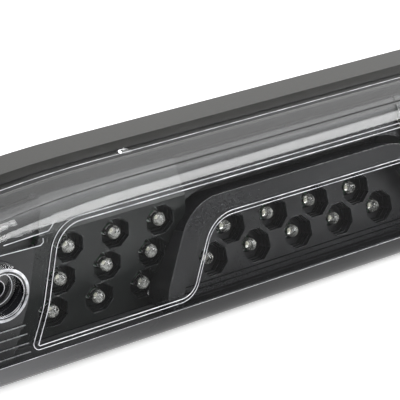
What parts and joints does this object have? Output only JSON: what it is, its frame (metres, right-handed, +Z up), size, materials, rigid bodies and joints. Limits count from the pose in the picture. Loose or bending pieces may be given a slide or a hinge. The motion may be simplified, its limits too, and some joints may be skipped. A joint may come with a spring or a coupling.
{
  "type": "third brake light",
  "caption": "Slim clear-lens high-mount stop lamp with black bezels, a raised U-shaped lens contour, recessed round lights and two screw cups for bolting to a cab.",
  "frame": {"origin": "centre of the rear mounting face, on the outer face of the foam gasket", "axes": "+X along the lamp towards its right end as seen from the lit side, +Y out of the mounting face towards the vehicle body, +Z up; the lit face looks along -Y"},
  "size_m": [0.33, 0.0633, 0.058],
  "materials": {
    "clear_lens": "polished clear plastic",
    "housing_black": "fine-grained black",
    "gasket_foam": "closed-cell foam",
    "sealant": "cured sealant",
    "plated_steel": "zinc plated",
    "seal_rubber": "soft rubber",
    "bezel_black": "satin black",
    "trim_black": "satin black",
    "lobe_black": "satin black",
    "panel_black": "satin black",
    "board_green": "solder mask",
    "led_clear": "clear epoxy",
    "tinned_lead": "tinned",
    "ceramic_black": "matt",
    "moulded_black": "matt",
    "can_aluminium": "satin can",
    "connector_white": "natural nylon",
    "wire_black": "insulation",
    "screw_steel": "zinc plated",
    "grommet_rubber": "soft rubber",
    "vent_plastic": "matt"
  },
  "bodies": {
    "root": {"outer_lens": "clear_lens", "cup_seats": "clear_lens", "housing": "housing_black", "rear_gasket": "gasket_foam", "lens_sealant": "sealant", "compression_limiters": "plated_steel", "tunnel_seals": "seal_rubber", "centre_bezel": "bezel_black", "upper_trim": "trim_black", "lower_trim": "trim_black", "left_bezel": "lobe_black", "right_bezel": "lobe_black", "left_end_panel": "panel_black", "right_end_panel": "panel_black", "left_circuit_board": "board_green", "right_circuit_board": "board_green", "centre_circuit_board": "board_green", "left_leds": "led_clear", "right_leds": "led_clear", "centre_leds": "led_clear", "left_led_leads": "tinned_lead", "right_led_leads": "tinned_lead", "centre_led_leads": "tinned_lead", "resistors": "ceramic_black", "diodes": "moulded_black", "driver_chip": "moulded_black", "capacitors": "can_aluminium", "board_connectors": "connector_white", "jumper_wires": "wire_black", "board_screws": "screw_steel", "cable_grommet": "grommet_rubber", "breather_vent": "vent_plastic"}
  },
  "joints": []
}
